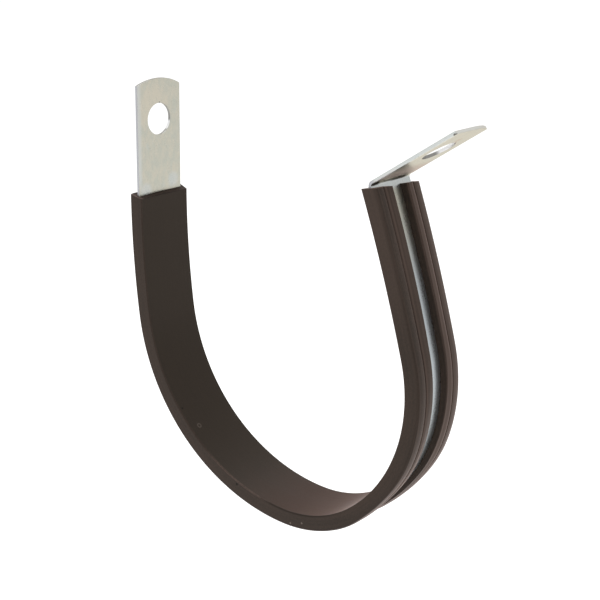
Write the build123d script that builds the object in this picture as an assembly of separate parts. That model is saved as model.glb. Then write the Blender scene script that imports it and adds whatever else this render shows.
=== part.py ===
from build123d import *
import math
import os

# Open rubber-lined P clip: a stamped steel strip, rolled into a sprung-open loop with a
# fixing tab at each end, and a rubber channel pushed over the strip's edges all round the loop.
#
# Frame: origin at the centre of tab A's hole, on the back face of the strip. X runs across the
# loop from tab A towards tab B, Y along the strip's width, Z up along tab A. Millimetres.

# Steel strip
strip_width = 12.0
strip_thickness = 0.6
hole_diameter = 6.4
hole_from_tip = 8.15
tip_radius = 13.0

# Tab A runs straight up out of the liner; tab B is folded outwards above its other end
tab_a_length = 23.05
tab_b_length = 20.3
neck_length = 0.15
fold_inside_radius = 0.5
fold_turn = 77.8

# Loop, measured on the liner's inner face, as tangent arcs from tab A round to tab B
left_leg_radius = 177.3
left_leg_turn = 7.9
left_bow_radius = 37.4
left_bow_turn = 79.7
heel_radius = 23.6
heel_turn = 40.1
right_bow_radius = 30.3
right_bow_turn = 67.8
right_leg_radius = 326.8
right_leg_turn = 5.35

# Rubber liner section
pad_thickness = 1.2
side_wall = 0.65
shoulder_height = 3.2
lip_crown_height = 3.7
mouth_width = 5.6
bead_split_from_mouth = 1.9
groove_width = 0.45
groove_depth = 0.4
bead_bulge = 0.16
inner_chamfer = 0.25
shoulder_radius = 0.45
mouth_chamfer = 0.2
liner_play = 0.03

# Liner ends. Both cuts lean the same way, so the lips reach past the pad at tab A and stop short
# of it at the fold. A setback is how far the pad's inner face stops short of its end of the loop.
end_lean = 10.5
left_end_setback = 0.35
right_end_setback = 0.05
right_end_skew = 3.3
end_allowance = 1.0

# Values worked out from the ones above
half_strip = strip_width / 2
strip_floor = pad_thickness
strip_top = pad_thickness + strip_thickness
pocket_half = half_strip + liner_play
pocket_floor = strip_floor - liner_play
pocket_top = strip_top + liner_play
liner_half = pocket_half + side_wall
mouth_half = mouth_width / 2
liner_end_z = hole_from_tip - tab_a_length
loop_runs = [
    (left_leg_radius, left_leg_turn),
    (left_bow_radius, left_bow_turn),
    (heel_radius, heel_turn),
    (right_bow_radius, right_bow_turn),
    (right_leg_radius, right_leg_turn),
]


def heading_vector(angle):
    """Direction of travel along the loop, as an angle above +X in the XZ plane."""
    return Vector(math.cos(math.radians(angle)), 0, math.sin(math.radians(angle)))


def outward_vector(angle):
    """Away from the inside of the loop, square to the direction of travel."""
    return Vector(math.sin(math.radians(angle)), 0, -math.cos(math.radians(angle)))


def section_plane(point, angle):
    """Plane of a cross-section: its x runs across the strip, its y outwards from the loop."""
    return Plane(origin=point, x_dir=(0, -1, 0), z_dir=heading_vector(angle))


def loop_stations():
    """Start point and heading of every arc of the liner's inner face, and those of its end."""
    point = Vector(strip_top, 0, liner_end_z)
    angle = -90.0
    stations = [(point, angle)]
    for radius, turn in loop_runs:
        centre = point - outward_vector(angle) * radius
        angle = angle + turn
        point = centre + outward_vector(angle) * radius
        stations.append((point, angle))
    return stations


def roll_round_loop(section):
    """Carry a flat section round each arc of the loop in turn."""
    solid = Part()
    for (point, angle), (radius, turn) in zip(loop_stations(), loop_runs):
        start = section_plane(point, angle) * section
        axis = Axis(point - outward_vector(angle) * radius, (0, -1, 0))
        solid += revolve(start, axis, turn)
    return solid


def strip_section():
    """Flat strip with slit edges, lying in the liner's pocket."""
    return Pos(0, (strip_floor + strip_top) / 2) * Rectangle(strip_width, strip_thickness)


def tab_blank(length):
    """One end of the strip in its own plane: straight sides, bowed tip and a round hole.

    It grows along +Y from the origin, and its thickness is centred on the plane.
    """
    tip_drop = tip_radius - math.sqrt(tip_radius**2 - half_strip**2)
    side = length - tip_drop
    outline = Polyline((-half_strip, side), (-half_strip, 0), (half_strip, 0), (half_strip, side))
    tip = ThreePointArc((half_strip, side), (0, length), (-half_strip, side))
    blank = make_face([outline, tip])
    hole = Pos(0, length - hole_from_tip) * Circle(hole_diameter / 2)
    return extrude(blank - hole, strip_thickness / 2, both=True)


def tab_a():
    """Straight tab: the plain end of the strip, standing above the liner."""
    middle = Vector(strip_thickness / 2, 0, liner_end_z)
    return Plane(origin=middle, x_dir=(0, 1, 0), z_dir=(1, 0, 0)) * tab_blank(tab_a_length)


def fold_and_tab_b():
    """Short neck above the liner, the outward fold, and the second tab beyond it."""
    point, angle = loop_stations()[-1]
    outward = outward_vector(angle)
    start = section_plane(point, angle) * strip_section()
    neck = extrude(start, neck_length)
    neck_end = point + heading_vector(angle) * neck_length
    centre = neck_end + outward * (strip_top + fold_inside_radius)
    fold = revolve(section_plane(neck_end, angle) * strip_section(), Axis(centre, (0, 1, 0)), fold_turn)
    tab_angle = angle - fold_turn
    middle_radius = fold_inside_radius + strip_thickness / 2
    middle = centre - outward_vector(tab_angle) * middle_radius
    straight = tab_b_length - (fold_inside_radius + strip_thickness) * math.tan(math.radians(fold_turn / 2))
    plane = Plane(origin=middle, x_dir=(0, 1, 0), z_dir=outward_vector(tab_angle))
    return neck + fold + plane * tab_blank(straight)


def steel_band():
    return tab_a() + roll_round_loop(strip_section()) + fold_and_tab_b()


def liner_half_outline():
    """Right half of the rubber channel's section, from the inner face round to the pocket."""
    split = mouth_half + bead_split_from_mouth
    shoulder_in = liner_half - shoulder_radius
    slope = (lip_crown_height - shoulder_height) / (shoulder_in - mouth_half)
    split_height = shoulder_height + (shoulder_in - split) * slope
    bead_start = split + groove_width / 2
    bead_end = split - groove_width / 2
    crown_start = mouth_half + mouth_chamfer
    outer_mid = ((shoulder_in + bead_start) / 2, (shoulder_height + split_height) / 2 + bead_bulge)
    inner_mid = ((bead_end + crown_start) / 2, (split_height + lip_crown_height) / 2 + bead_bulge)
    return [
        Line((0, 0), (liner_half - inner_chamfer, 0)),
        Line((liner_half - inner_chamfer, 0), (liner_half, inner_chamfer)),
        Line((liner_half, inner_chamfer), (liner_half, shoulder_height - shoulder_radius)),
        RadiusArc(
            (liner_half, shoulder_height - shoulder_radius), (shoulder_in, shoulder_height), -shoulder_radius
        ),
        ThreePointArc((shoulder_in, shoulder_height), outer_mid, (bead_start, split_height)),
        Line((bead_start, split_height), (split, split_height - groove_depth)),
        Line((split, split_height - groove_depth), (bead_end, split_height)),
        ThreePointArc((bead_end, split_height), inner_mid, (crown_start, lip_crown_height)),
        Line((crown_start, lip_crown_height), (mouth_half, lip_crown_height - mouth_chamfer)),
        Line((mouth_half, lip_crown_height - mouth_chamfer), (mouth_half, pocket_top)),
        Line((mouth_half, pocket_top), (pocket_half, pocket_top)),
        Line((pocket_half, pocket_top), (pocket_half, pocket_floor)),
        Line((pocket_half, pocket_floor), (0, pocket_floor)),
    ]


def end_offcut(station, advance, skew, side):
    """What a leaning cut takes off an end of the liner.

    Advance is how far on along the loop the cut meets the inner face, skew is how far it turns
    from square across the strip, and side says which side of the cut goes.
    """
    point, angle = station
    cut = section_plane(point, angle).location * Pos(0, 0, advance) * Rot(-end_lean, -skew, 0)
    offcut_size = 3 * lip_crown_height
    return cut * Box(3 * liner_half, offcut_size, offcut_size, align=(Align.CENTER, Align.CENTER, side))


def rubber_liner():
    """Extruded channel: a pad inside the strip, a wall past each edge and a grooved lip over it."""
    half = make_face([*liner_half_outline(), Line((0, pocket_floor), (0, 0))])
    section = half + mirror(half, Plane.YZ)
    left_end, *_, right_end = loop_stations()
    channel = roll_round_loop(section)
    channel += extrude(section_plane(*left_end) * section, -end_allowance)
    channel += extrude(section_plane(*right_end) * section, end_allowance)
    channel -= end_offcut(left_end, left_end_setback, 0, Align.MAX)
    return channel - end_offcut(right_end, -right_end_setback, right_end_skew, Align.MIN)


os.makedirs("parts", exist_ok=True)
export_step(steel_band(), "parts/steel_band.step")
export_step(rubber_liner(), "parts/rubber_liner.step")
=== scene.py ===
# %% [markdown]
# # A rubber-lined P clip
#
# The real clip is two things. A steel strip is stamped flat, with a round hole near each end,
# plated with zinc and rolled into an open loop. An extruded rubber channel is pushed over both
# edges of the strip before it is rolled, and is bent with it.
#
# Blender can follow the same order, and that is why this lesson does. Each piece is drawn and
# detailed while it is flat, where every size is easy to check, and is then bent along one centre
# line. The other way, modelling it bent from the start, would make every hole and edge harder.

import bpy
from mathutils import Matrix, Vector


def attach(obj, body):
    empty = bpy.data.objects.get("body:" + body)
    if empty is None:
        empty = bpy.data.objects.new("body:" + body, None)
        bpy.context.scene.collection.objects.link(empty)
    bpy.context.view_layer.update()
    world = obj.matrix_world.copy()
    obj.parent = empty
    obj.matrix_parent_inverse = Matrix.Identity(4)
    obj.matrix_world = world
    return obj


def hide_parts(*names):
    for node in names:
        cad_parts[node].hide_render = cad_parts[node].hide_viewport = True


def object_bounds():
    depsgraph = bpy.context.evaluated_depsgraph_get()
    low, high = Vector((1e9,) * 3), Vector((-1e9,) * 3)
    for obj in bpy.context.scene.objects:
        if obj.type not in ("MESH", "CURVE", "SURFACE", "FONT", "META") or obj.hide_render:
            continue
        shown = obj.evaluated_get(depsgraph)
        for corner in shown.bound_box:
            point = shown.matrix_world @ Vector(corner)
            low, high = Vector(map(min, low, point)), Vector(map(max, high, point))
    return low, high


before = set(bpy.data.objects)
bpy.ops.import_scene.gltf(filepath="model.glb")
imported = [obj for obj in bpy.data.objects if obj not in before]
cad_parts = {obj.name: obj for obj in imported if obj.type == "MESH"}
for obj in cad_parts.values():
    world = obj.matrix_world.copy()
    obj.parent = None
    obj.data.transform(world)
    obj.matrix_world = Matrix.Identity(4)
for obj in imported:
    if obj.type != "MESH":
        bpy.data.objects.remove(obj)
cad_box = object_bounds()
print("measured box, mm:", [[round(1000 * c, 2) for c in corner] for corner in cad_box])

# %% Bring in the tools
import math

import bmesh
import bpy
from mathutils import Matrix, Vector

MM = 0.001
weld_gap = MM / 1000
near_enough = MM / 100

# %% [markdown]
# ## Sizes
#
# Blender works in metres here, so each size is written in millimetres times MM. Heights in the
# rubber's section are measured outwards from the face that touches the pipe.

# %% Sizes of the steel strip and its tabs
strip_width = 12.0 * MM
strip_thickness = 0.6 * MM
hole_radius = 3.2 * MM
hole_from_tip = 8.15 * MM
tip_radius = 13.0 * MM
tab_a_length = 23.05 * MM
tab_b_length = 20.3 * MM
neck_length = 0.15 * MM
fold_inside_radius = 0.5 * MM
fold_turn = 77.8
slit_edge_round = 0.09 * MM
punched_edge_round = 0.035 * MM

# %% Sizes of the loop, on the rubber's inner face: radius and turn of each arc
loop_arcs = [
    (177.3 * MM, 7.9),
    (37.4 * MM, 79.7),
    (23.6 * MM, 40.1),
    (30.3 * MM, 67.8),
    (326.8 * MM, 5.35),
]

# %% Sizes of the rubber's section
pad_thickness = 1.2 * MM
side_wall = 0.65 * MM
shoulder_height = 3.2 * MM
lip_crown_height = 3.75 * MM
mouth_width = 5.0 * MM
split_from_mouth = 1.95 * MM
split_height = 3.25 * MM
groove_width = 0.34 * MM
groove_depth = 0.2 * MM
bead_rise = 0.08 * MM
inner_corner_radius = 0.25 * MM
shoulder_radius = 0.45 * MM
mouth_corner_radius = 0.07 * MM
play = 0.03 * MM
end_lean = math.radians(10.5)
left_end_setback = 0.35 * MM
right_end_setback = 0.05 * MM
right_end_skew = math.radians(3.3)
end_allowance = 1.0 * MM

# %% [markdown]
# ## The centre line
#
# Bending doesn't stretch the middle of a sheet's thickness, so the line that both pieces follow
# is the middle of the strip. It is a chain of runs, each with a length and a turn, and a straight
# run turns by nothing. A curve object could be drawn by hand with handles, but arcs of known
# radius are what the forming rolls make, so short steps are walked along each run instead.

# %% Runs of the centre line
middle_height = pad_thickness + strip_thickness / 2
fold_radius = fold_inside_radius + strip_thickness / 2
fold_setback = (fold_inside_radius + strip_thickness) * math.tan(math.radians(fold_turn / 2))
tab_b_straight = tab_b_length - fold_setback
loop_runs = [((radius + middle_height) * math.radians(turn), turn) for radius, turn in loop_arcs]
loop_length = sum(length for length, turn in loop_runs)
fold_length = fold_radius * math.radians(fold_turn)
runs = [
    (tab_a_length, 0),
    *loop_runs,
    (neck_length, 0),
    (fold_length, -fold_turn),
    (tab_b_straight, 0),
]
liner_start = tab_a_length
liner_end = liner_start + loop_length
fold_start = liner_end + neck_length
fold_end = fold_start + fold_length
blank_length = fold_end + tab_b_straight
print(f"flat strip {blank_length / MM:.2f} mm long, {loop_length / MM:.2f} mm of it lined")

# %% Walk along the runs and draw the curve
step_length = 0.8 * MM
step_turn = 3


def centre_line_points(runs):
    """Points (x, z) along the middle of the strip, from tab A's tip to the end of the runs."""
    x, z, heading = strip_thickness / 2, hole_from_tip, math.radians(-90)
    points = [(x, z)]
    for length, turn in runs:
        steps = max(math.ceil(length / step_length), math.ceil(abs(turn) / step_turn))
        bend = math.radians(turn) / steps
        chord = length / steps
        if turn:
            chord = 2 * length / math.radians(turn) * math.sin(bend / 2)
        for _ in range(steps):
            x += chord * math.cos(heading + bend / 2)
            z += chord * math.sin(heading + bend / 2)
            heading += bend
            points.append((x, z))
    return points


def draw_centre_line(name, runs):
    """A flat curve through the points, stood upright so that its plane is the loop's plane."""
    points = centre_line_points(runs)
    curve = bpy.data.curves.new(name, "CURVE")
    curve.dimensions = "2D"
    curve.fill_mode = "NONE"
    spline = curve.splines.new("POLY")
    spline.points.add(len(points) - 1)
    for point, (x, z) in zip(spline.points, points):
        point.co = (x, z, 0, 1)
    line = bpy.data.objects.new(name, curve)
    line.rotation_euler.x = math.radians(90)
    bpy.context.scene.collection.objects.link(line)
    bpy.context.view_layer.update()
    print(f"{name}: {len(points)} points")
    return line


band_line = draw_centre_line("band_line", runs)
liner_line = draw_centre_line("liner_line", [*runs[:-3], (2 * end_allowance, 0)])

# %% [markdown]
# ## A pen for outlines
#
# Both pieces start as an outline. In edit mode a single corner can be extruded to draw a line and
# spun round a centre to draw an arc. A small pen keeps the last corner's place, so the outline
# reads as a list of moves. A Bezier curve would also do, but its fill is harder to keep clean.

# %% The pen
class Pen:
    """Draws an outline: lines are extruded from its last corner, and bowed ones are spun."""

    def __init__(self, name, start, spin_axis):
        bpy.ops.object.select_all(action="DESELECT")
        bpy.ops.mesh.primitive_plane_add(size=MM, location=start)
        self.piece = bpy.context.object
        self.piece.name = name
        self.at = Vector(start)
        self.spin_axis = Vector(spin_axis)
        bpy.ops.object.mode_set(mode="EDIT")
        bpy.ops.mesh.select_mode(type="VERT")
        bpy.ops.mesh.merge(type="CENTER")

    def line(self, *to):
        """A straight edge to a point."""
        to = Vector(to)
        bpy.ops.mesh.extrude_region_move(TRANSFORM_OT_translate={"value": to - self.at})
        self.at = to

    def bow(self, *to, rise, steps):
        """An arc to a point, which stands out from the straight line by rise."""
        to = Vector(to)
        chord = to - self.at
        radius = (chord.length**2 / 4 + rise**2) / (2 * rise)
        inwards = self.spin_axis.cross(chord).normalized()
        centre = (self.at + to) / 2 + inwards * (radius - rise)
        angle = 2 * math.asin(chord.length / 2 / radius)
        bpy.ops.mesh.spin(steps=steps, angle=-angle, center=centre, axis=self.spin_axis)
        self.at = to

    def fill(self):
        """Closes the outline with a face and puts the object's origin at the world's."""
        bpy.ops.mesh.select_all(action="SELECT")
        bpy.ops.mesh.remove_doubles(threshold=weld_gap)
        bpy.ops.mesh.select_all(action="SELECT")
        bpy.ops.mesh.edge_face_add()
        bpy.ops.object.mode_set(mode="OBJECT")
        bpy.ops.object.transform_apply(location=True, rotation=True, scale=True)
        print(f"{self.piece.name}: outline of {len(self.piece.data.vertices)} corners")
        return self.piece


# %% Helpers for edit mode and modifiers
def pick(piece, kind, rule):
    """Selects, in edit mode, only the corners, edges or faces that the rule passes."""
    bpy.ops.mesh.select_mode(type=kind)
    bpy.ops.mesh.select_all(action="DESELECT")
    mesh = bmesh.from_edit_mesh(piece.data)
    for part in {"VERT": mesh.verts, "EDGE": mesh.edges, "FACE": mesh.faces}[kind]:
        if rule(part):
            part.select_set(True)
    bmesh.update_edit_mesh(piece.data)


def make_active(piece):
    bpy.ops.object.mode_set(mode="OBJECT")
    bpy.ops.object.select_all(action="DESELECT")
    piece.select_set(True)
    bpy.context.view_layer.objects.active = piece


def finish_with(piece, kind, **settings):
    """Adds a modifier, gives it its settings and applies it."""
    make_active(piece)
    bpy.ops.object.modifier_add(type=kind)
    modifier = piece.modifiers[-1]
    for name, setting in settings.items():
        setattr(modifier, name, setting)
    bpy.ops.object.modifier_apply(modifier=modifier.name)


def nudge(piece, share, direction, distance):
    """Moves each corner along an axis by its share of a distance."""
    weights = piece.vertex_groups.new(name="nudged")
    for vertex in piece.data.vertices:
        weights.add([vertex.index], share(vertex.co), "REPLACE")
    settings = {"direction": direction, "strength": distance, "mid_level": 0}
    finish_with(piece, "DISPLACE", vertex_group="nudged", **settings)
    piece.vertex_groups.clear()


def report(piece):
    """Prints a piece's size and whether its mesh is closed."""
    mesh = bmesh.new()
    mesh.from_mesh(piece.data)
    open_edges = sum(1 for edge in mesh.edges if len(edge.link_faces) != 2)
    volume = mesh.calc_volume() / MM**3
    triangles = sum(len(face.verts) - 2 for face in mesh.faces)
    mesh.free()
    size = [round(side / MM, 2) for side in piece.dimensions]
    print(f"{piece.name}: {size} mm, {volume:.0f} mm3")
    print(f"{piece.name}: {triangles} triangles, {open_edges} open edges")


# %% [markdown]
# ## The steel strip, flat
#
# The blank is cut from slit coil: straight sides, and tips cut to a large radius. Its outline is
# drawn once, filled, and extruded to the sheet's thickness. The press also leaves the slit sides
# slightly rounded, and a small bevel there catches the light as the real edge does.

# %% Draw the blank and give it its thickness
half_strip = strip_width / 2
half_thickness = strip_thickness / 2
tip_drop = tip_radius - math.sqrt(tip_radius**2 - half_strip**2)
tip_steps = 28
sharp_edge = math.radians(60)


def draw_blank():
    """The whole strip before forming, lying along X, with its inner face up."""
    pen = Pen("rolled_steel_band", (tip_drop, -half_strip, half_thickness), (0, 0, 1))
    pen.line(blank_length - tip_drop, -half_strip, half_thickness)
    pen.bow(blank_length - tip_drop, half_strip, half_thickness, rise=tip_drop, steps=tip_steps)
    pen.line(tip_drop, half_strip, half_thickness)
    pen.bow(tip_drop, -half_strip, half_thickness, rise=tip_drop, steps=tip_steps)
    return pen.fill()


def thicken(piece):
    bpy.ops.object.mode_set(mode="EDIT")
    bpy.ops.mesh.select_all(action="SELECT")
    bpy.ops.mesh.extrude_region_move(TRANSFORM_OT_translate={"value": (0, 0, -strip_thickness)})
    bpy.ops.mesh.select_all(action="SELECT")
    bpy.ops.mesh.normals_make_consistent(inside=False)


def round_slit_edges(piece):
    pick(piece, "EDGE", lambda edge: edge.calc_face_angle() > sharp_edge)
    bpy.ops.mesh.bevel(offset=slit_edge_round, segments=3, affect="EDGES")


band = draw_blank()
thicken(band)
round_slit_edges(band)
bpy.ops.object.mode_set(mode="OBJECT")
report(band)

# %% [markdown]
# ## The fixing holes
#
# A press punches the holes, and a Boolean with a cylinder is the same operation. It leaves a
# sharp rim, and the rim is beveled by hand afterwards, so that the punched edge has its own size.

# %% Punch the holes and soften their rims
hole_centres = [hole_from_tip, blank_length - hole_from_tip]
punch_sides = 96


def punch(piece, x):
    make_active(piece)
    bpy.ops.object.select_all(action="DESELECT")
    bpy.ops.mesh.primitive_cylinder_add(
        vertices=punch_sides, radius=hole_radius, depth=4 * strip_thickness, location=(x, 0, 0)
    )
    tool = bpy.context.object
    finish_with(piece, "BOOLEAN", operation="DIFFERENCE", solver="EXACT", object=tool)
    bpy.data.objects.remove(tool)


def on_rim(edge, x):
    """True for an edge of a punched hole that lies in one of the strip's two faces."""
    for corner in edge.verts:
        off_circle = abs(math.hypot(corner.co.x - x, corner.co.y) - hole_radius)
        off_face = abs(abs(corner.co.z) - half_thickness)
        if max(off_circle, off_face) > near_enough:
            return False
    return True


for centre in hole_centres:
    punch(band, centre)
bpy.ops.object.mode_set(mode="EDIT")
pick(band, "EDGE", lambda edge: any(on_rim(edge, centre) for centre in hole_centres))
bpy.ops.mesh.bevel(offset=punched_edge_round, segments=2, affect="EDGES")
bpy.ops.object.mode_set(mode="OBJECT")
report(band)

# %% [markdown]
# ## Cuts for the bends
#
# A mesh can only bend where it has edges across it. The loop needs one about every 0.8 mm, and
# the fold of tab B, which is far tighter, needs one every three degrees. Bisect lays them.

# %% Cut the strip across wherever it will bend
def evenly(start, end, spacing):
    """Places from start to end, at most spacing apart."""
    count = math.ceil((end - start) / spacing)
    return [start + (end - start) * i / count for i in range(count + 1)]


loop_cuts = evenly(liner_start, liner_end, step_length)
fold_cuts = evenly(fold_start, fold_end, fold_radius * math.radians(step_turn))


def cut_across(piece, places):
    bpy.ops.object.mode_set(mode="EDIT")
    for x in places:
        bpy.ops.mesh.select_all(action="SELECT")
        bpy.ops.mesh.bisect(plane_co=(x, 0, 0), plane_no=(1, 0, 0))
    bpy.ops.object.mode_set(mode="OBJECT")
    print(f"{piece.name}: {len(places)} cuts across")


cut_across(band, loop_cuts + fold_cuts)

# %% [markdown]
# ## Tips that came out uneven
#
# The tips were cut a little askew, so the near corner of each reaches further out than the far
# one. Those corners are pushed out here, by weights that grow as the tip's bow falls away and a
# Displace modifier that follows them. The outline could be drawn askew instead, but the even tip
# is the one whose sizes can be checked, and the two small amounts stay apart from it.

# %% Push out the near corners of both tips
tip_reach = 3 * MM
tip_a_excess = 0.33 * MM
tip_b_excess = tip_drop


def fuller_corner(tip):
    """A share that is all at the near corner of a tip and none from its middle on."""

    def share(corner):
        bow = tip_radius - math.sqrt(tip_radius**2 - corner.y**2)
        return (corner.y < 0) * (abs(corner.x - tip) < tip_reach) * bow / tip_drop

    return share


nudge(band, fuller_corner(0), "X", -tip_a_excess)
nudge(band, fuller_corner(blank_length), "X", tip_b_excess)
print(f"near corners out by {tip_a_excess / MM:.2f} and {tip_b_excess / MM:.2f} mm")

# %% [markdown]
# ## Bending along the centre line
#
# The finish of both pieces runs along them, so each corner first stores its flat place in an
# attribute, which the materials read later. On the steel a second attribute marks the faces that
# a blade or a punch left, because bare metal has another colour than the plated faces beside it.
# Then the Curve modifier bends the piece. Modelling bent and unwrapping afterwards would give the
# same pattern with far more work.

# %% Store the flat place, bend and smooth
smooth_below = math.radians(38)


def store_flat_place(piece):
    """Writes each corner's place before bending, in mm: along, across and through."""
    flat = piece.data.attributes.new("flat_place", "FLOAT_VECTOR", "POINT")
    for corner, vertex in zip(flat.data, piece.data.vertices):
        corner.vector = vertex.co / MM


def mark_cut_faces(piece):
    """Writes 1 on the faces that a blade or punch left, which stand upright on the flat piece."""
    cut = piece.data.attributes.new("cut_face", "FLOAT", "CORNER")
    for face in piece.data.polygons:
        for corner in face.loop_indices:
            cut.data[corner].value = 1 - abs(face.normal.z)


def roll(piece, line):
    store_flat_place(piece)
    finish_with(piece, "CURVE", object=line, deform_axis="POS_X")
    bpy.ops.object.shade_smooth_by_angle(angle=smooth_below)
    finish_with(piece, "WEIGHTED_NORMAL", keep_sharp=True)
    report(piece)


mark_cut_faces(band)
roll(band, band_line)

# %% [markdown]
# ## The rubber channel
#
# Rubber is pushed through a die, so one section is the whole piece: a pad under the strip, a wall
# past each edge, and a lip over it with two soft beads and a groove between them. Half of the
# section is drawn with the pen, because the die is symmetric, and a Mirror modifier adds the rest.

# %% Draw half of the section
pocket_half = half_strip + play
pocket_floor = pad_thickness - play
pocket_top = pad_thickness + strip_thickness + play
liner_half = pocket_half + side_wall
mouth_half = mouth_width / 2
groove_floor_half = groove_width / 5
quarter_rise = 1 - math.cos(math.radians(45))
inner_corner_steps = 5
shoulder_steps = 7
bead_steps = 8
mouth_corner_steps = 4


def level(height):
    """Turns a height above the inner face into the flat Z, where the strip's middle is 0."""
    return middle_height - height


def draw_half_section():
    """Right half of the channel, just before the liner's left end, with its lip pointing down."""
    split = mouth_half + split_from_mouth
    shoulder_in = liner_half - shoulder_radius
    x = liner_start - end_allowance
    inner_corner_rise = inner_corner_radius * quarter_rise
    shoulder_rise = shoulder_radius * quarter_rise
    mouth_corner_rise = mouth_corner_radius * quarter_rise
    groove_floor = level(split_height - groove_depth)
    crown = level(lip_crown_height)
    crown_side = level(lip_crown_height - mouth_corner_radius)
    pen = Pen("extruded_rubber_liner", (x, 0, level(0)), (-1, 0, 0))
    pen.line(x, liner_half - inner_corner_radius, level(0))
    inner_corner_end = (x, liner_half, level(inner_corner_radius))
    pen.bow(*inner_corner_end, rise=inner_corner_rise, steps=inner_corner_steps)
    pen.line(x, liner_half, level(shoulder_height - shoulder_radius))
    pen.bow(x, shoulder_in, level(shoulder_height), rise=shoulder_rise, steps=shoulder_steps)
    pen.bow(x, split + groove_width / 2, level(split_height), rise=bead_rise, steps=bead_steps)
    pen.line(x, split + groove_floor_half, groove_floor)
    pen.line(x, split - groove_floor_half, groove_floor)
    pen.line(x, split - groove_width / 2, level(split_height))
    pen.bow(x, mouth_half + mouth_corner_radius, crown, rise=bead_rise, steps=bead_steps)
    pen.bow(x, mouth_half, crown_side, rise=mouth_corner_rise, steps=mouth_corner_steps)
    pen.line(x, mouth_half, level(pocket_top))
    pen.line(x, pocket_half, level(pocket_top))
    pen.line(x, pocket_half, level(pocket_floor))
    pen.line(x, 0, level(pocket_floor))
    return pen.fill()


liner = draw_half_section()

# %% [markdown]
# ## Extruding the rubber
#
# The section is extruded a little longer than the lined length, and its long edges are divided to
# let it bend. So far it is half a channel, closed by faces on the plane where it will be mirrored.
# They are taken out first, because Mirror would keep them as a wall inside the whole channel.

# %% Extrude, divide and open the middle
def extrude_section(piece):
    length = loop_length + 2 * end_allowance
    bpy.ops.object.mode_set(mode="EDIT")
    bpy.ops.mesh.select_all(action="SELECT")
    bpy.ops.mesh.extrude_region_move(TRANSFORM_OT_translate={"value": (length, 0, 0)})
    bpy.ops.mesh.select_all(action="SELECT")
    bpy.ops.mesh.normals_make_consistent(inside=False)
    bpy.ops.object.mode_set(mode="OBJECT")


def open_the_middle(piece):
    """Takes out the faces on the mirror plane, which would stay inside the whole channel."""
    bpy.ops.object.mode_set(mode="EDIT")
    pick(piece, "FACE", lambda face: all(abs(corner.co.y) < weld_gap for corner in face.verts))
    bpy.ops.mesh.delete(type="FACE")
    bpy.ops.object.mode_set(mode="OBJECT")


extrude_section(liner)
cut_across(liner, loop_cuts)
open_the_middle(liner)
print(f"{liner.name}: {len(liner.data.polygons)} faces in this half")

# %% [markdown]
# ## Dipping the lips
#
# Where the channel bends, its lips are stretched, and their free edges are pulled down towards
# the steel, while they stand up on the straight legs. At the heel, the sharpest part, the whole lip
# is pinched flat. The far lip also lies flatter and opens wider than the near one, so the mirror
# comes before its moves. Weights and a Displace modifier move the corners smoothly. Sections that
# change along the way could be lofted instead, but Blender has no loft.

# %% Shares of a corner in each move
lip_dip = 0.62 * MM
lip_pinch = 0.36 * MM
far_lip_drop = 0.42 * MM
far_lip_retreat = 0.55 * MM
dip_from_liner_end = (10, 45, 110, 146)
pinch_from_liner_end = (92, 101, 103, 115)
far_lip_relief = 0.6


def smooth(value, start, end):
    """0 before start, 1 after end and smooth between."""
    share = min(max((value - start) / (end - start), 0), 1)
    return share * share * (3 - 2 * share)


def hump(along, rise_start, rise_end, fall_start, fall_end):
    """0 to 1 and back to 0 along the loop, in mm from the liner's left end."""
    along = (along - liner_start) / MM
    return smooth(along, rise_start, rise_end) - smooth(along, fall_start, fall_end)


def raised(corner, height):
    """0 at the underside of the lip and below it, 1 at a height and above it."""
    lip_floor = level(pocket_top)
    return min(max((lip_floor - corner.z) / (lip_floor - level(height)), 0), 1)


def dip_share(corner):
    """The free edge of the lip dips all round the bend."""
    free_edge = 1 - smooth(corner.y, mouth_half, mouth_half + split_from_mouth)
    return hump(corner.x, *dip_from_liner_end) * free_edge * raised(corner, lip_crown_height)


def pinch_share(corner):
    """The whole lip is pinched flatter where the bend is sharpest."""
    return hump(corner.x, *pinch_from_liner_end) * raised(corner, shoulder_height)


def far_share(corner):
    """The far lip lies flatter than the near one, least so where both are dipped already."""
    free_edge = smooth(-corner.y, -mouth_half - split_from_mouth, -mouth_half)
    flatter = 1 - far_lip_relief * hump(corner.x, *dip_from_liner_end)
    return flatter * free_edge * raised(corner, lip_crown_height) * (corner.y > 0)


# %% Dip, pinch, mirror and flatten
nudge(liner, dip_share, "Z", lip_dip)
nudge(liner, pinch_share, "Z", lip_pinch)
finish_with(liner, "MIRROR", use_axis=(False, True, False), use_clip=True)
nudge(liner, far_share, "Z", far_lip_drop)
nudge(liner, far_share, "Y", far_lip_retreat)
report(liner)

# %% [markdown]
# ## Cutting the rubber to length
#
# Both ends were cut by the same leaning blade, which Bisect follows with a tilted plane: the lips
# reach past the pad at tab A and stop short of it at the fold. A Boolean with a block would do the
# same, but one plane is all the cut needs. The blade dragged the soft rubber at tab A, so the far
# wall and the middle of the pad stand out of that plane, and weights move them as before.

# %% Trim both ends and bend the rubber
end_drag = 0.9 * MM
drag_reach = 2.5 * MM
pad_drag = 0.28
far_wall_from = 0.8 * liner_half
far_wall_to = 0.9 * liner_half
left_cut = liner_start + left_end_setback
right_cut = liner_end - right_end_setback
lean_slope = math.tan(end_lean)
skew_slope = math.tan(right_end_skew)


def trim(x, skew, **removed):
    """Cuts along a plane that leans towards tab A as it goes out from the inner face."""
    bpy.ops.object.mode_set(mode="EDIT")
    bpy.ops.mesh.select_all(action="SELECT")
    normal = (1, skew, -lean_slope)
    bpy.ops.mesh.bisect(plane_co=(x, 0, level(0)), plane_no=normal, use_fill=True, **removed)
    bpy.ops.object.mode_set(mode="OBJECT")


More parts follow.
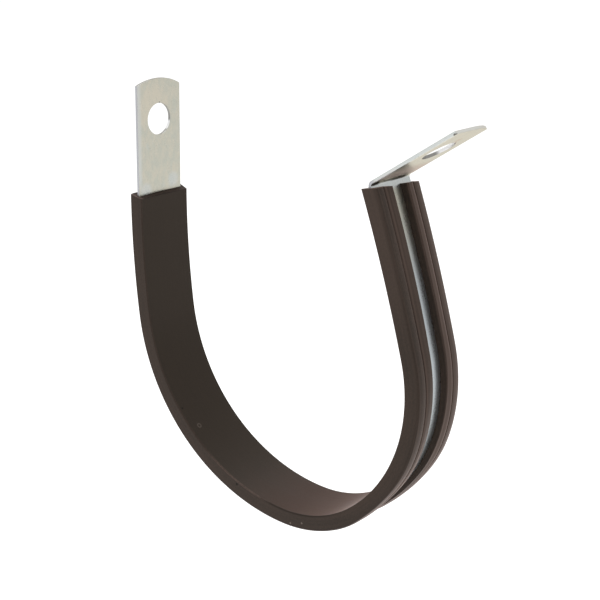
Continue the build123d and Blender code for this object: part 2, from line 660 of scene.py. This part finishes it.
def drag_share(corner):
    """The blade left the far wall and the middle of the pad standing longer at tab A."""
    near_end = 1 - smooth(corner.x, left_cut, left_cut + drag_reach)
    height = (middle_height - corner.z) / lip_crown_height
    far_wall = smooth(corner.y, far_wall_from, far_wall_to) * height
    pad_middle = max(0, 1 - abs(corner.y) / pocket_half) * pad_drag
    return near_end * (far_wall + pad_middle)


trim(left_cut, 0, clear_inner=True)
trim(right_cut, skew_slope, clear_outer=True)
nudge(liner, drag_share, "X", -end_drag)
report(liner)
roll(liner, liner_line)

# %% [markdown]
# ## Shader maths as sums
#
# A finish is a graph of nodes, and a long graph is hard to read as code. One small class wraps a
# node's output, so that a sum written with + and * adds its Math nodes by itself. Any other node
# comes from a single method that takes its type, its settings and its inputs.

# %% A value that changes over a surface
class Value:
    """A node's output. A sum written with values adds the Math nodes that work it out."""

    def __init__(self, finish, socket):
        self.finish = finish
        self.socket = socket

    def maths(self, operation, *terms):
        return self.finish.node("ShaderNodeMath", {"operation": operation}, dict(enumerate(terms)))

    def __add__(self, other):
        return self.maths("ADD", self, other)

    def __sub__(self, other):
        return self.maths("SUBTRACT", self, other)

    def __rsub__(self, other):
        return self.maths("SUBTRACT", other, self)

    def __mul__(self, other):
        return self.maths("MULTIPLY", self, other)

    def size(self):
        return self.maths("ABSOLUTE", self)

    def ramp(self, low, high):
        """0 below low, 1 above high and smooth between. With low above high it falls instead."""
        inputs = {"Value": self, "From Min": low, "From Max": high}
        return self.finish.node("ShaderNodeMapRange", {"interpolation_type": "SMOOTHSTEP"}, inputs)

    __radd__ = __add__
    __rmul__ = __mul__


# %% A finish, which is a material being made
class Finish:
    """A material being made. Its methods add nodes and return Values."""

    def __init__(self, name):
        self.material = bpy.data.materials.new(name)
        self.material.use_nodes = True
        self.tree = self.material.node_tree
        self.shader = self.tree.nodes["Principled BSDF"]

    def node(self, kind, settings, inputs, output=0):
        """Adds any node: its settings first, then the values or links of its sockets."""
        made = self.tree.nodes.new(kind)
        for name, setting in settings.items():
            setattr(made, name, setting)
        for place, value in inputs.items():
            self.connect(value, made.inputs[place])
        return Value(self, made.outputs[output])

    def connect(self, value, socket):
        if isinstance(value, Value):
            self.tree.links.new(value.socket, socket)
        else:
            socket.default_value = value

    def stored(self, name, output):
        """What the mesh stores under a name."""
        settings = {"attribute_name": name, "attribute_type": "GEOMETRY"}
        return self.node("ShaderNodeAttribute", settings, {}, output)

    def blend(self, share, first, second):
        """A colour between two colours."""
        inputs = {0: share, 6: first, 7: second}
        return self.node("ShaderNodeMix", {"data_type": "RGBA"}, inputs, 2)

    def bumps(self, height, depth):
        """A normal from a height of 0 to 1, which stands for a depth in metres."""
        inputs = {"Height": height, "Distance": depth, "Strength": 1.0}
        return self.node("ShaderNodeBump", {}, inputs)

    def set(self, **sockets):
        """Sets or links the shader's sockets, named with _ for a space."""
        for name, value in sockets.items():
            self.connect(value, self.shader.inputs[name.replace("_", " ")])


# %% [markdown]
# ## Patterns on the flat piece
#
# Rolling lines, die lines and marks were all there before the bend or run along it, so they are
# laid out on the flat piece: its own millimetres along, across and through, which both pieces
# stored before they were bent. A small round mark is the distance to a point there, and noise has
# its own number of waves per mm on each axis. A UV map could do the same for one side, but not
# for all.
#
# Most numbers in the two finishes are such places. Along starts at tab A's tip, across runs from
# the near side, which is negative, to the far one, and through grows towards the inside of the
# loop, with 0 in the middle of the steel. The others say how strongly a colour comes through.

# %% A finish that reads the stored place
class FlatFinish(Finish):
    """A finish laid out on the flat piece: along it, across it and through it, in mm."""

    def __init__(self, name):
        super().__init__(name)
        self.place = self.stored("flat_place", "Vector")
        self.along = self.axis("X")
        self.across = self.axis("Y")
        self.through = self.axis("Z")

    def axis(self, letter):
        return self.node("ShaderNodeSeparateXYZ", {}, {"Vector": self.place}, letter)

    def distance(self, centre):
        """How far a point is from another, in mm."""
        settings = {"operation": "DISTANCE"}
        return self.node("ShaderNodeVectorMath", settings, {0: self.place, 1: centre}, "Value")

    def spots(self, *marks):
        """1 inside small round marks and 0 outside them. A mark is its centre and its radius."""
        shares = []
        for centre, radius in marks:
            shares.append(self.distance(centre).ramp(1.3 * radius, 0.6 * radius))
        return sum(shares[1:], shares[0])

    def noise(self, per_mm, detail=2.0, roughness=0.5, shift=(0, 0, 0)):
        """Noise of about 0 to 1, with its own number of waves per mm on each axis."""
        inputs = {"Vector": self.place, "Scale": per_mm, "Location": shift}
        moved = self.node("ShaderNodeMapping", {}, inputs)
        inputs = {"Vector": moved, "Scale": 1.0, "Detail": detail, "Roughness": roughness}
        return self.node("ShaderNodeTexNoise", {}, inputs, "Fac")


# %% Where things are along the flat strip, in mm
lined_from = liner_start / MM
lined_to = liner_end / MM
fold_from = fold_start / MM
fold_to = fold_end / MM
strip_end = blank_length / MM
hole_a = hole_from_tip / MM
hole_b = (blank_length - hole_from_tip) / MM
print(f"strip of {strip_end:.1f} mm: lined from {lined_from:.1f} to {lined_to:.1f} mm")

# %% [markdown]
# ## Zinc plate
#
# Bright zinc plate on rolled steel is a satin metal. It keeps fine lines along the strip from
# rolling, and its clear coat of passivation shades it in large soft patches, warm, green or blue.
# An image texture could hold this, but noise on the flat place needs no file and follows the bend.
# The slit sides are greyer than the faces, and the punched faces darker. Some of the colour is
# painted light: a bluer painted reflection in the channel, a reddish painted reflection of the
# rubber under the fold, painted shade on all of tab B, painted highlights along the near rims and
# on tab B's tip face, and painted glints in the bores. A clip that has been handled also has a pale
# patch or two, a brown stain and a nick, each a small round mark.

# %% Colours of the steel
warm_zinc = (0.555, 0.52, 0.43, 1)
green_zinc = (0.475, 0.48, 0.415, 1)
blue_zinc = (0.55, 0.60, 0.63, 1)
painted_red_reflection = (0.60, 0.47, 0.42, 1)
dark_grain_and_shade_zinc = (0.33, 0.32, 0.29, 1)
grey_rim_painted_highlight = (0.55, 0.57, 0.57, 1)
pale_rim_painted_highlight = (0.74, 0.80, 0.83, 1)
slit_face = (0.46, 0.465, 0.49, 1)
punched_face = (0.30, 0.295, 0.28, 1)
tip_b_painted_highlight = (0.70, 0.70, 0.67, 1)
painted_glint_white = (0.9, 0.9, 0.9, 1)
tan_bore = (0.60, 0.50, 0.42, 1)
brown_stain = (0.36, 0.24, 0.17, 1)
dark_nick = (0.10, 0.09, 0.08, 1)
zinc_reflection = (0.78, 0.74, 0.66, 1)

# %% Marks on the steel
warm_round_hole = ((5.6, -1.5, 0.3), 4.6)
pale_patches = [((21.0, 3.8, 0.3), 1.5), ((22.2, -4.0, 0.3), 1.5)]
bore_glint = ((hole_a + 1.5, 2.8, 0), 1.0)
stain = ((strip_end - 4.2, 0.5, -0.3), 0.8)
steel_nicks = [((4.92, 0.15, 0.3), 0.22), ((strip_end - 0.3, -5.8, -0.3), 0.35)]


# %% The plate, its edges and its marks
def zinc_patches(zinc):
    """Warm and green all over, bluer at the neck, and a bluer painted reflection in the channel."""
    patches = zinc.noise((0.45, 0.8, 0.22), detail=5, roughness=0.65)
    cloud = zinc.noise((0.35, 0.45, 0.2), detail=3, shift=(7, 3, 1))
    # The channel's blue is a painted reflection of the bright room in the strip between the lips.
    channel_painted_reflection = zinc.along.ramp(lined_from + 1, lined_from + 3) * zinc.along.ramp(186, 165)
    neck = zinc.along.ramp(lined_to - 1.5, lined_to - 0.5) * zinc.along.ramp(fold_to, fold_from)
    warmth = patches.ramp(0.35, 0.65) * 0.7 + zinc.spots(warm_round_hole) * 0.6
    coolness = cloud.ramp(0.6, 0.8) * 0.2 + zinc.spots(*pale_patches) * 0.38
    coolness = coolness + channel_painted_reflection + neck * 0.7
    return zinc.blend(coolness, zinc.blend(warmth, green_zinc, warm_zinc), blue_zinc)


def zinc_rim_highlights(zinc, colour, on_tab_b):
    """Painted highlights along the near rims: greyer above the liner and pale on tab B."""
    above_liner = zinc.along.ramp(lined_from, lined_from - 3) * zinc.across.ramp(-4.7, -5.7)
    colour = zinc.blend(above_liner * 0.6, colour, grey_rim_painted_highlight)
    along_tab_b = on_tab_b * zinc.across.ramp(-4.6, -5.9)
    return zinc.blend(along_tab_b * 0.5, colour, pale_rim_painted_highlight)


def zinc_cut_faces(zinc, colour, cut_face, on_tab_b):
    """Slit and punched faces, painted highlights on tab B's tip face and glints in the bores, tan
    in bore B.
    """
    punched = cut_face * zinc.across.size().ramp(5.95, 5.85)
    at_tip_b = zinc.along.ramp(strip_end - 2.5, strip_end - 2.2)
    in_bore_b = punched * on_tab_b * (1 - at_tip_b)
    colour = zinc.blend(cut_face * (1 - on_tab_b), colour, slit_face)
    colour = zinc.blend(punched, colour, punched_face)
    # Tab B's tip face is lighter than the other punched faces: a painted highlight.
    colour = zinc.blend(punched * at_tip_b, colour, tip_b_painted_highlight)
    # Painted glints: a white spot in bore A and white on the outer side of bore B.
    colour = zinc.blend(cut_face * zinc.spots(bore_glint), colour, painted_glint_white)
    glint_side_in_bore_b = in_bore_b * zinc.along.ramp(hole_b - 2.4, hole_b - 1.6)
    colour = zinc.blend(glint_side_in_bore_b * 0.9, colour, painted_glint_white)
    tip_side = in_bore_b * zinc.along.ramp(hole_b + 1.2, hole_b + 2.4)
    return zinc.blend(tip_side * 0.8, colour, tan_bore)


def zinc_plate():
    zinc = FlatFinish("zinc_plate")
    cut_face = zinc.stored("cut_face", "Fac")
    on_tab_b = zinc.along.ramp(fold_to, fold_to + 1)
    under_fold = on_tab_b * zinc.along.ramp(fold_to + 7, fold_to + 3) * zinc.through.ramp(0, -0.2)
    lines = zinc.noise((0.12, 3.0, 3.0), detail=4, roughness=0.65)
    fine_lines = zinc.noise((0.35, 14.0, 14.0), detail=2)
    grain = zinc.noise((2.5, 4.0, 4.0), detail=3, roughness=0.7)
    # Reddish under the fold: a painted reflection of the brown rubber in the strip's underside.
    colour = zinc.blend(under_fold * 0.7, zinc_patches(zinc), painted_red_reflection)
    # Darker and paler with the rolling lines and grain, and darker on all of tab B as painted
    # shade.
    grain_tone_and_tab_b_shade = 0.80 + lines * 0.20 + (grain - 0.5) * 0.65 - on_tab_b * 0.12
    colour = zinc.blend(grain_tone_and_tab_b_shade, dark_grain_and_shade_zinc, colour)
    colour = zinc_rim_highlights(zinc, colour, on_tab_b)
    colour = zinc_cut_faces(zinc, colour, cut_face, on_tab_b)
    colour = zinc.blend(zinc.spots(stain) * 0.6, colour, brown_stain)
    colour = zinc.blend(zinc.spots(*steel_nicks), colour, dark_nick)
    roughness = 0.20 + lines * 0.10 + grain * 0.08 + cut_face * 0.14 + under_fold * 0.2
    height = lines * 0.6 + fine_lines * 0.25 + grain * 0.15
    zinc.set(Base_Color=colour, Metallic=1.0, Roughness=roughness)
    zinc.set(Specular_Tint=zinc_reflection)
    zinc.set(Normal=zinc.bumps(height, 0.008 * MM))
    return zinc.material


# %% [markdown]
# ## Extruded rubber
#
# The rubber is a warm brown-black with a satin skin. The die leaves faint lines along it, the
# surface has a very fine grain, and handling leaves it slightly uneven in tone. Its cut ends have
# no skin, so they are paler and rougher, but most of the one at tab A is darkened as painted shade.
# The inner face is darkened as painted shade, and its bottom is duller, with a paler brown painted
# there as a warm sheen. The beads, the ridge by the groove, the far lip and the walls by the fold
# have painted highlights, the lips have pale streaks, and an inner corner has a paler line. The
# lip's shoulder and the lowest inner corner have painted shade. A ring, two pale specks and two
# nicks are small marks again.

# %% Colours of the rubber
dark_rubber = (0.024, 0.0195, 0.0160, 1)
brown_rubber = (0.047, 0.0330, 0.0260, 1)
inner_painted_shade = (0.022, 0.0170, 0.0120, 1)
bottom_painted_sheen = (0.062, 0.034, 0.027, 1)
pale_rubber_and_highlights = (0.085, 0.060, 0.050, 1)
shaded_rubber = (0.010, 0.008, 0.006, 1)
cut_rubber = (0.066, 0.048, 0.042, 1)
cut_face_painted_shade = (0.016, 0.012, 0.010, 1)
pale_speck = (0.13, 0.105, 0.09, 1)
deep_nick = (0.006, 0.005, 0.004, 1)
rubber_reflection = (1.0, 0.84, 0.74, 1)
rubber_sheen = (1.0, 0.64, 0.52, 1)

# %% Marks on the rubber
ring_centre = (73.9, -4.2, 1.5)
ring_radius = 0.42
specks = [((103.9, -6.68, -0.9), 0.2), ((106.7, -6.68, -0.3), 0.2)]
rubber_nicks = [((69.0, -5.8, 1.5), 0.22), ((89.5, -6.68, 0.8), 0.3)]


# %% The rubber, its painted highlights and shade, and its cut ends
def cut_ends(rubber):
    """1 on the cut faces at tab A and at the fold, which lean with the blade's planes."""
    leaning = rubber.along + (rubber.through * -1 + middle_height / MM) * lean_slope
    turned = leaning + rubber.across * skew_slope
    left_face = leaning.ramp(left_cut / MM + 0.03, left_cut / MM + 0.005)
    right_face = turned.ramp(right_cut / MM - 0.03, right_cut / MM - 0.005)
    return left_face, right_face


def rubber_skin(rubber, tone, mottle, lines, inner_face, bottom):
    """Dark and brown by turns, painted shade on the inner face, painted warm sheen at its bottom.
    """
    share = tone.ramp(0.3, 0.7) * 0.3 + lines.ramp(0.35, 0.65) * 0.3 + mottle.ramp(0.35, 0.65) * 0.4
    colour = rubber.blend(share, dark_rubber, brown_rubber)
    # Darker on the inner face, most on the left arm: painted shade.
    inner_shade_share = inner_face * (0.45 + rubber.along.ramp(110, 75) * 0.4)
    colour = rubber.blend(inner_shade_share, colour, inner_painted_shade)
    # A paler brown at the bottom of the inner face: a painted warm sheen.
    return rubber.blend(bottom * 0.5, colour, bottom_painted_sheen)


def rubber_highlights_and_streaks(rubber, mottle, lines, inner_corner):
    """How far it is painted paler: painted highlights on lips, ridge and walls, streaks, a corner
    line.
    """
    side = rubber.across.size()
    on_lip = rubber.through.ramp(-1.3, -1.6)
    inner_bead = side.ramp(4.45, 4.25)
    far_side = rubber.across.ramp(-0.5, 0.5)
    ridge = (side - 4.1).size().ramp(0.26, 0.08)
    streaks = lines.ramp(0.4, 0.65)
    pale_share = on_lip * (far_side * 0.45 + inner_bead * 0.25 + ridge * 0.35 + streaks * 0.25)
    pale_share = pale_share + side.ramp(6.5, 6.6) * rubber.along.ramp(150, 186) * 0.3
    corner_line = inner_corner * rubber.along.ramp(78, 85) * rubber.along.ramp(100, 94)
    return pale_share + corner_line * (0.3 + mottle.ramp(0.3, 0.6) * 0.6)


def rubber_shade(rubber, inner_corner):
    """How far it is shaded: along the lip's shoulder and at the lowest inner corner."""
    at_shoulder = rubber.across.size().ramp(6.15, 6.35)
    shoulder = (rubber.through + 1.45).size().ramp(0.7, 0.10) * at_shoulder
    corner = inner_corner * rubber.along.ramp(94, 100) * rubber.along.ramp(118, 112)
    return shoulder * 0.2 + corner * 0.45


def black_rubber():
    rubber = FlatFinish("black_rubber")
    tone = rubber.noise((0.07, 0.25, 0.25), detail=3)
    mottle = rubber.noise((2.2, 3.0, 3.0), detail=3, roughness=0.65)
    lines = rubber.noise((0.03, 3.2, 3.2), detail=3, roughness=0.6)
    grain = rubber.noise((9.0, 9.0, 9.0), detail=3, roughness=0.6)
    left_face, right_face = cut_ends(rubber)
    inner_face = rubber.through.ramp(1.42, 1.48) * rubber.across.size().ramp(6.5, 6.35)
    inner_corner = rubber.through.ramp(1.15, 1.3) * rubber.across.size().ramp(6.38, 6.5)
    bottom = inner_face * rubber.along.ramp(86, 106)
    colour = rubber_skin(rubber, tone, mottle, lines, inner_face, bottom)
    # Paler rubber: painted highlights on the lips and walls, with pale streaks and a corner line.
    colour = rubber.blend(rubber_highlights_and_streaks(rubber, mottle, lines, inner_corner), colour, pale_rubber_and_highlights)
    colour = rubber.blend(rubber_shade(rubber, inner_corner), colour, shaded_rubber)
    ring = (rubber.distance(ring_centre) - ring_radius).size().ramp(0.22, 0.06)
    colour = rubber.blend(ring * 0.35 + rubber.spots(*specks), colour, pale_speck)
    colour = rubber.blend(rubber.spots(*rubber_nicks), colour, deep_nick)
    colour = rubber.blend(left_face + right_face, colour, cut_rubber)
    # Most of the cut face at tab A, all but its near wall, is darkened: painted shade.
    colour = rubber.blend(left_face * rubber.across.ramp(-6.2, -5.8), colour, cut_face_painted_shade)
    roughness = 0.46 + (tone - 0.5) * 0.10 + (lines - 0.5) * 0.14 + (grain - 0.5) * 0.10
    roughness = roughness + (left_face + right_face) * 0.2 + bottom * 0.2
    roughness = roughness - inner_face * rubber.along.ramp(110, 124) * 0.34
    height = lines * 0.55 + grain * 0.45
    rubber.set(Base_Color=colour, Roughness=roughness, IOR=1.22)
    rubber.set(Specular_Tint=rubber_reflection)
    rubber.set(Sheen_Tint=rubber_sheen, Sheen_Weight=0.26, Sheen_Roughness=0.35)
    rubber.set(Normal=rubber.bumps(height, 0.02 * MM))
    return rubber.material


# %% Give the pieces their finishes
def dress(piece, material):
    piece.data.materials.clear()
    piece.data.materials.append(material)
    print(f"{piece.name}: {material.name}, {len(material.node_tree.nodes)} nodes")


dress(band, zinc_plate())
dress(liner, black_rubber())

# %% [markdown]
# ## Standing in for the measured pieces
#
# Each modelled piece takes the place of the measured one with the same form. Both move with the
# one rigid body, because the clip has no moving parts.

# %% Hand the pieces over
for piece, node, slot in [
    (band, "steel_band", "zinc_plated_steel"),
    (liner, "rubber_liner", "black_rubber"),
]:
    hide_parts(node)
    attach(piece, "root")
for line in (band_line, liner_line):
    bpy.data.objects.remove(line)

# %% [markdown]
# ## The studio
#
# The clip is shown upright, as it is held by its fixing hole, over a plain pale floor that lies
# well below it. White walls all round give the soft, nearly shadowless light of a catalogue
# picture. A large soft lamp from above gives the rubber and the zinc some shape, and a weaker one
# behind the clip puts a sheen on the faces that turn away from the first.

# %% Floor and light
floor_drop = 0.20
floor_size = 12.0
floor_grey = (0.93, 0.93, 0.93, 1)
floor_glow = 0.22
white = (1, 1, 1, 1)
room_brightness = 0.9


def lay_floor():
    bpy.ops.object.select_all(action="DESELECT")
    bpy.ops.mesh.primitive_plane_add(size=floor_size, location=(0, 0, -floor_drop))
    floor = bpy.context.object
    floor.name = "floor"
    paint = Finish("pale_floor")
    paint.set(Base_Color=floor_grey, Roughness=0.9)
    paint.set(Emission_Color=white, Emission_Strength=floor_glow)
    floor.data.materials.append(paint.material)


def soft_lamp(name, place, target, size, watts):
    """A square lamp that faces a point."""
    bpy.ops.object.light_add(type="AREA", location=place)
    lamp = bpy.context.object
    lamp.name = name
    lamp.data.shape = "SQUARE"
    lamp.data.size = size
    lamp.data.energy = watts
    aim = Vector(target) - Vector(place)
    lamp.rotation_euler = aim.to_track_quat("-Z", "Y").to_euler()


def white_room():
    """Light of one colour and strength from everywhere."""
    world = bpy.data.worlds.new("white_room")
    bpy.context.scene.world = world
    world.use_nodes = True
    walls = world.node_tree.nodes["Background"]
    walls.inputs["Color"].default_value = white
    walls.inputs["Strength"].default_value = room_brightness


lay_floor()
white_room()
middle = (cad_box[0] + cad_box[1]) / 2
soft_lamp("top_lamp", place=(-0.20, 0.15, 0.75), target=middle, size=0.6, watts=3.0)
soft_lamp("back_lamp", place=(-0.50, 0.66, 0.24), target=middle, size=0.45, watts=0.5)
bpy.context.scene.view_settings.view_transform = "Standard"

# %% [markdown]
# ## The camera
#
# The camera stands a little above the clip and to the right of its face, turned by about one
# degree, with a short telephoto lens. Its place and lens were fitted to the photograph's outline
# of the clip, once the clip's width was settled. Moving it by eye would never get so close.

# %% Camera
camera_place = (182.05 * MM, -184.78 * MM, 42.21 * MM)
camera_azimuth = math.radians(38.08)
camera_elevation = math.radians(17.23)
camera_roll = math.radians(0.94)
lens_mm = 77.214
sensor_mm = 36
nearest_seen = 0.01
farthest_seen = 50


def set_camera():
    turn = (
        Matrix.Rotation(camera_azimuth, 3, "Z")
        @ Matrix.Rotation(math.pi / 2 - camera_elevation, 3, "X")
        @ Matrix.Rotation(camera_roll, 3, "Z")
    )
    bpy.ops.object.camera_add(location=camera_place, rotation=turn.to_euler())
    camera = bpy.context.object
    camera.data.sensor_width = sensor_mm
    camera.data.lens = lens_mm
    camera.data.clip_start = nearest_seen
    camera.data.clip_end = farthest_seen
    bpy.context.scene.camera = camera


set_camera()
print(f"camera {Vector(camera_place).length / MM:.0f} mm from tab A's hole, lens {lens_mm:.1f} mm")
